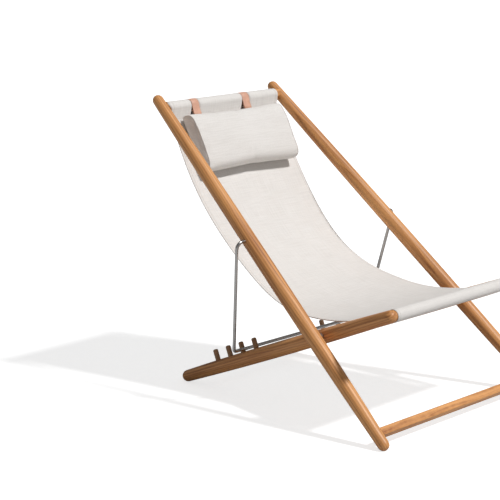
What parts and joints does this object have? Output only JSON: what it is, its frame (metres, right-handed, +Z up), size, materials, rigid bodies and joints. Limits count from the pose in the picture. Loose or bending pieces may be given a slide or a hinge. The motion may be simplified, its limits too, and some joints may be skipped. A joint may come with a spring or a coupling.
{
  "type": "folding deck chair",
  "caption": "Folding sling deck chair: crossed tapered wooden frames, canvas sling, strapped headrest pillow and a wire prop that sets the recline.",
  "frame": {"origin": "on the ground plane, under the centre of the bounding box", "axes": "+X to the sitter's left, -Y to the chair's front, +Z up"},
  "size_m": [0.7178, 0.8982, 0.7952],
  "materials": {
    "rail_wood": "oiled turned hardwood, satin",
    "peg_wood": "oiled dowel, satin",
    "wire_steel": "drawn stainless wire, satin",
    "fitting_steel": "turned stainless, satin",
    "sling_canvas": "plain-woven outdoor canvas, matt",
    "pillow_canvas": "plain-woven outdoor canvas with piped seams, matt",
    "strap_leather": "natural vegetable-tanned strap, satin"
  },
  "bodies": {
    "seat_frame": {"seat_rail_right": "rail_wood", "seat_rail_left": "rail_wood", "front_bar": "rail_wood", "rear_bar": "rail_wood", "peg_right_1": "peg_wood", "peg_right_2": "peg_wood", "peg_right_3": "peg_wood", "peg_right_4": "peg_wood", "peg_left_1": "peg_wood", "peg_left_2": "peg_wood", "peg_left_3": "peg_wood", "peg_left_4": "peg_wood", "pivot_spacer_right": "fitting_steel", "pivot_spacer_left": "fitting_steel", "pivot_washer_right": "fitting_steel", "pivot_washer_left": "fitting_steel", "sling": "sling_canvas"},
    "back_frame": {"back_rail_right": "rail_wood", "back_rail_left": "rail_wood", "top_bar": "rail_wood", "low_stretcher": "rail_wood", "pivot_bolt_right": "fitting_steel", "pivot_bolt_left": "fitting_steel", "pivot_insert_right": "fitting_steel", "pivot_insert_left": "fitting_steel"},
    "prop_bracket": {"prop_bracket": "wire_steel"},
    "headrest": {"headrest_pillow": "pillow_canvas", "strap_right": "strap_leather", "strap_left": "strap_leather"}
  },
  "joints": [
    {"name": "recline", "type": "hinge", "parent": "seat_frame", "child": "back_frame", "pos_m": [0, -0.18672, 0.23252], "axis": [1, 0, 0], "range_deg": [-55, 5.9], "deforming": ["sling"]},
    {"name": "bracket_swing", "type": "hinge", "parent": "back_frame", "child": "prop_bracket", "pos_m": [0, 0.05894, 0.44925], "axis": [1, 0, 0], "range_deg": [-12, 107]},
    {"name": "headrest_lift", "type": "hinge", "parent": "back_frame", "child": "headrest", "pos_m": [0, 0.41206, 0.76079], "axis": [-1, 0, 0], "range_deg": [0, 120]}
  ],
  "couplings": [
    {"joint": "bracket_swing", "follows": "recline", "ratio": -1.93}
  ]
}
